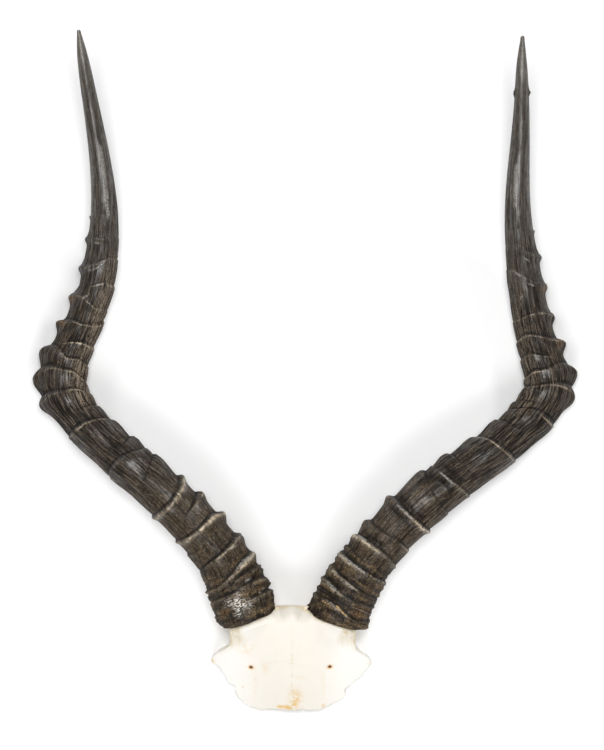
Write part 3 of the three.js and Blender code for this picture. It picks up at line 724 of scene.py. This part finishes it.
BONE_SIDES = 420  # points around the plate
BONE_ROWS = 96  # rows of points from the crown to the edge, above and again below
PEG_RADIUS = 17.3
NECK_RADIUS = 19.6  # the peg flares to this where it meets the forehead
RIM_RADIUS = 21.5  # near a horn the bone stays inside this radius, below the horn's rim,
RIM_REACH = 19.4  # up to this far to the side of the peg's middle
HORN_REACH = 23.0  # no part of the horn's rim is farther to the side
FILLET = 7.0  # the height over which pegs and forehead run into each other
EDGE_ROUND = 1.6  # the edges are rounded over this width
BONE_SEED = 5


def mounds(x, y, rows):
    """The sum over the rows of height * exp(-(x/radius)^2 - (y/radius)^2), each x and y being
    counted from the row's own place."""
    total = np.zeros_like(x)
    for height, place, radii in rows:
        u, v = (x - place[0]) / radii[0], (y - place[1]) / radii[1]
        total = total + height * np.exp(-(u * u + v * v))
    return total


def forehead(x, y):
    """Height of the domed outer surface over the saw cut: highest just in front of the rear
    edge, falling with the distance to the power 1.35 towards the nasal end and 2.2 to both
    sides."""
    across = np.abs(x - MIDLINE) / PLATE_HALF_WIDTH
    back = REAR_EDGE - y
    fall = np.clip(back - SHOULDER_LENGTH, 0, None) / (PLATE_LENGTH - SHOULDER_LENGTH)
    shoulder = np.clip(SHOULDER_LENGTH - back, 0, None) / SHOULDER_LENGTH
    ridge = FOREHEAD_HEIGHT - (FOREHEAD_HEIGHT - NASAL_HEIGHT) * fall**1.35
    ridge = ridge - SHOULDER_DROP * shoulder**2
    return np.maximum(ridge - SIDE_DROP * across**2.2, LOWEST_SIDE)


def along_peg(x, y, run, inner):
    """How far a point lies along a horn's first stretch, how far to the side of the peg's
    middle, and how high that middle is there."""
    start, step = run[0], run[1] - run[0]
    plan = np.hypot(step[0], step[1])
    tx, ty = step[0] / plan, step[1] / plan
    middle = start[:2] + SEAT_SHIFT * inner * np.array([ty, -tx])
    dx, dy = x - middle[0], y - middle[1]
    distance = dx * tx + dy * ty
    return distance, dx * ty - dy * tx, start[2] + step[2] / plan * distance


def rim_of(side, rings, inner):
    """How far along the horn its rim lies, at this distance to the side of the peg's middle."""
    return np.interp(side * inner + SEAT_SHIFT, [-22, -11, 0, 11, 22], rings[0][:5])


def soft_max(a, b, reach):
    """The larger of the two, plus (reach - gap)^2 / (4 reach) where the gap between them is
    less than the reach, which fills the corner to a smooth curve."""
    near = np.clip(reach - np.abs(a - b), 0, None) / reach
    return np.maximum(a, b) + near**2 * reach / 4


def bone_sheets(x, y):
    """Height of the outer surface and of the underside. Both pegs are lying cylinders that
    flare into the forehead and stay below their horns' rims; the underside is the saw cut,
    z = 0, hollowed by the braincase, the nasal passage and the eye sockets."""
    top = forehead(x, y) + mounds(x, y, REAR_BUMPS)
    under = np.zeros_like(x)
    for run, rings, inner in PEGS:
        distance, side, middle = along_peg(x, y, run, inner)
        rim, off = rim_of(side, rings, inner), np.abs(side)
        radius = PEG_RADIUS + (NECK_RADIUS - PEG_RADIUS) * eased((-distance - 0.5) / 6)
        inside = np.sqrt(np.clip(radius**2 - side**2, 0, None))
        beyond = np.clip(off - radius, 0, None)
        sink = 1.6 * np.clip(-distance - 9, 0, None)
        top = soft_max(top, middle + inside - 3.0 * beyond - sink, FILLET)
        limit = middle + np.sqrt(RIM_RADIUS**2 - np.minimum(off, RIM_REACH) ** 2) - 0.8
        limit = limit + 1.3 * np.clip(rim - 1 - distance, 0, None) + np.clip(off - HORN_REACH, 0, None)
        top = -soft_max(-top, -limit, FILLET)
        peg_end = eased((distance - rim + 1) / 2) * (np.abs(side * inner + SEAT_SHIFT) < HORN_REACH)
        end_rise = np.where(off < PEG_RADIUS, np.sqrt(np.clip(PEG_RADIUS**2 - side**2, 0, None)), -4)
        top = top * (1 - peg_end) + np.minimum(middle + end_rise, top) * peg_end
        overhang = eased((distance + 7) / 5) * eased((np.abs(x - MIDLINE) - 30) / 2.5)
        under = np.maximum(under, overhang * (middle - inside))
    for centre, size in HOLLOWS:
        reach = 1 - ((x - centre[0]) / size[0]) ** 2 - ((y - centre[1]) / size[1]) ** 2
        under = np.maximum(under, centre[2] + size[2] * np.sqrt(np.clip(reach, 0, None)) * (reach > 0))
    return top, np.minimum(under, top - WALL)


def make_bone(name):
    """A closed surface round the crown: rows go out over the forehead to the outline, down
    the cut or broken edge, and back in over the underside. The mix is 0 on the outer surface,
    1 on the underside and in between on the edge."""
    rng = np.random.default_rng(BONE_SEED)
    outline = np.concatenate([PLATE_OUTLINE, PLATE_OUTLINE[:1]])
    lengths = np.concatenate([[0], np.cumsum(np.hypot(*np.diff(outline, axis=0).T))])
    dense = np.linspace(0, lengths[-1], 4000)
    path = np.stack([np.interp(dense, lengths, outline[:, i]) for i in (0, 1)], axis=-1) - CROWN
    turn = np.arctan2(path[:, 1], path[:, 0])
    order = np.argsort(turn)
    angles = np.linspace(-np.pi, np.pi, BONE_SIDES, endpoint=False)
    reach = np.interp(angles, turn[order], np.hypot(*path[order].T), period=2 * np.pi)
    ragged = lattice_noise(rng, np.zeros(BONE_SIDES), angles, 150, 1.0)
    nasal = eased((-np.sin(angles) - 0.05) / 0.25)  # 1 towards the nasal end, which is broken
    reach = reach + 0.35 * ragged * nasal

    out = np.linspace(0.02, 1, BONE_ROWS) ** 0.8
    share = np.concatenate([out, [1.0, 1.0, 1.0], out[::-1]])
    mix = np.concatenate([np.zeros(BONE_ROWS), [0.25, 0.5, 0.75], np.ones(BONE_ROWS)])[:, None]
    reach = reach - REAR_SLANT * np.exp(-(((angles - np.pi / 2) / 0.42) ** 4)) * mix
    radius = share[:, None] * reach
    x = CROWN[0] + radius * np.cos(angles)
    y = CROWN[1] + radius * np.sin(angles)
    edge = reach - radius
    top, under = bone_sheets(x, y)
    rounding = np.clip(1 - edge / EDGE_ROUND, 0, 1) ** 2 * 1.1
    top, under = top - rounding, under + rounding * (under > 0.5)
    z = top * (1 - mix) + under * mix
    lumps = lattice_noise(rng, radius, np.broadcast_to(angles, radius.shape), 26, 9)
    z = z + 0.12 * lumps * (mix == 0) * (edge > 0.5)
    pits = mounds(x, y, PITS)
    z = z - (PIT_DEPTH * pits + mounds(x, y, GROOVES)) * (mix == 0)

    warm = 0.15 * bell((REAR_EDGE - y) / 5)
    for run, rings, inner in PEGS:
        distance, side, _ = along_peg(x, y, run, inner)
        warm = warm + 1.2 * eased((distance + 24) / 12) * eased((-side * inner - 6) / 8)
        warm = warm + 0.9 * eased((distance - rim_of(side, rings, inner) + 3.2) / 2.4)
    stain = mounds(x, y, STAINS)
    fields = {"stain": stain * (mix == 0), "warm": np.clip(warm, 0, 1), "bore": pits * (mix == 0)}
    return closed_shell(name, np.stack([x, y, z], axis=-1), fields, flip=False)


BONE_WHITE = (0.91, 0.89, 0.845)
BONE_CREAM = (0.775, 0.728, 0.645)
BONE_TAN = (0.66, 0.55, 0.36)
BONE_STAIN = (0.72, 0.48, 0.18)
BORE_RIM = (0.62, 0.30, 0.07)
BORE_HOLE_SHADE = (0.035, 0.018, 0.008)
PORE_DEPTH = 0.4 * MM


def bleached_bone(name):
    """Chalky white bone: cream in the middle, tan towards the horns, brown stains, fine pores
    and the wandering seam down the middle of the forehead. The two small holes are dark brown
    with painted shade, as their pits are shallower than the real holes."""
    finish = Finish(bpy.data.materials.new(name))
    place = finish.node("ShaderNodeTexCoord", out="Object")
    x, y = [finish.node("ShaderNodeSeparateXYZ", inputs={0: place}, out=i) for i in (0, 1)]
    mottle = finish.noise(place, 70, 4, 0.6)
    blotch = finish.noise(place, 260, 4, 0.65)
    pores = finish.noise(place, 1400, 3, 0.65)
    fibres = finish.noise(finish.scaled(place, (1, 0.1, 0.4)), 480, 3, 0.6)
    dots = finish.noise(place, 650, 2, 0.5)
    stain, warm, bore = [finish.field(field) for field in ("stain", "warm", "bore")]
    middle = 1 - (x - MIDLINE * MM).size().between(0.012, 0.050)
    wander = (finish.noise(finish.scaled(place, (0, 1, 0)), 160, 3, 0.7) - 0.5) * 0.004
    seam = 1 - (x - MIDLINE * MM - wander).size().between(0.0003, 0.0012)
    seam = seam * (1 - y.between(-0.192, -0.180)) * dots.between(0.50, 0.62)
    flamed = 0.32 + mottle.between(0.3, 0.65) * 0.4 + fibres.between(0.46, 0.62) * 0.45

    cream = finish.blend(middle * 0.8 + mottle * 0.3 - 0.1, BONE_WHITE, BONE_CREAM)
    colour = finish.painted(cream, [
        (warm * flamed, BONE_TAN),
        (stain * blotch.between(0.36, 0.56) * 0.95, BONE_STAIN),
        (seam * 0.5, BONE_TAN),
        (bore.between(0.02, 0.4) * 0.7, BORE_RIM),
        # dark brown with painted shade at the bottom of each pit, standing in for the depth of the hole
        (bore.between(0.45, 0.8), BORE_HOLE_SHADE),
    ])
    normal = finish.bump(0.4, PORE_DEPTH, pores * 0.4 + mottle * 0.6 - seam * 0.6)
    return finish.surface({"Base Color": colour, "Roughness": 0.62 + 0.2 * pores, "Normal": normal})


bone = make_bone("skull_plate_bone")
bone.data.materials.append(bleached_bone("bleached_bone"))
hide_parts("skull_plate")
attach(bone, "root")


# ---- The studio -------------------------------------------------------------------------
# A white table top under four soft lights: one straight above, one in front, and a small one
# low over each far corner. The camera looks straight down.

FLOOR_HALF = 15.0  # metres
TABLE_WHITE = (0.87, 0.87, 0.87, 1)
NEAR_GLOW = (0.06, 0.06, 0.06)  # the light that the table gives off itself, near the horns
FAR_GLOW = (0.95, 0.95, 0.95)  # and far from them
CORNERS = [(x * FLOOR_HALF, y * FLOOR_HALF, 0) for x, y in ((-1, -1), (1, -1), (1, 1), (-1, 1))]

floor_mesh = bpy.data.meshes.new("floor")
floor_mesh.from_pydata(CORNERS, [], [(0, 1, 2, 3)])
floor = bpy.data.objects.new("floor", floor_mesh)
bpy.context.collection.objects.link(floor)
paper = Finish(bpy.data.materials.new("white_table"))
place = paper.node("ShaderNodeTexCoord", out="Object")
away = paper.node("ShaderNodeVectorMath", {"operation": "LENGTH"}, {0: place}, out="Value").between(0.5, 1.3)
floor_mesh.materials.append(paper.surface({
    "Base Color": TABLE_WHITE, "Roughness": 0.9,
    "Emission Color": paper.blend(away, NEAR_GLOW, FAR_GLOW), "Emission Strength": 1.0,
}))


def soft_light(name, place, aim, size, power):
    """A rectangular light that faces its aim."""
    data = bpy.data.lights.new(name, "AREA")
    data.shape, data.size, data.size_y, data.energy = "RECTANGLE", size[0], size[1], power
    light = bpy.data.objects.new(name, data)
    light.location = place
    light.rotation_euler = (Vector(aim) - Vector(place)).to_track_quat("-Z", "Y").to_euler()
    bpy.context.collection.objects.link(light)


# Each light: where it is and what it faces, in metres, its size, and its power in watts
soft_light("overhead", (0, 0.25, 2.3), (0, 0, 0), (0.65, 0.65), 32)
soft_light("front", (0, -1.25, 1.4), (0, 0.1, 0.05), (0.9, 0.7), 14.5)
soft_light("corner_left", (-1.2, 1.1, 1.2), (0, 0, 0), (0.35, 0.35), 6)
soft_light("corner_right", (1.2, 1.1, 1.2), (0, 0, 0), (0.35, 0.35), 9)

LOW_SKY = (1.0, 1.0, 1.0)  # the light all round, near the horizon
HIGH_SKY = (0.13, 0.13, 0.13)
world = bpy.data.worlds.new("studio")
sky = Finish(world)
way = sky.node("ShaderNodeTexCoord", out="Generated")
up = sky.node("ShaderNodeSeparateXYZ", inputs={0: way}, out=2).between(0.08, 0.24)
glow = sky.node("ShaderNodeBackground", inputs={"Color": sky.blend(up, LOW_SKY, HIGH_SKY), "Strength": 1.0})
sky.node("ShaderNodeOutputWorld", inputs={"Surface": glow})
bpy.context.scene.world = world
bpy.context.scene.view_settings.view_transform = "Standard"

CAMERA_HEIGHT = 2.0
CAMERA_PLACE = (-0.0027, 0.0032, CAMERA_HEIGHT)
SEEN_HEIGHT = 0.56325  # metres of the table top that the camera sees along Y
camera_data = bpy.data.cameras.new("camera")
camera_data.sensor_width = 36
camera_data.lens = camera_data.sensor_width * CAMERA_HEIGHT / SEEN_HEIGHT
camera = bpy.data.objects.new("camera", camera_data)
camera.location = CAMERA_PLACE
bpy.context.collection.objects.link(camera)
bpy.context.scene.camera = camera
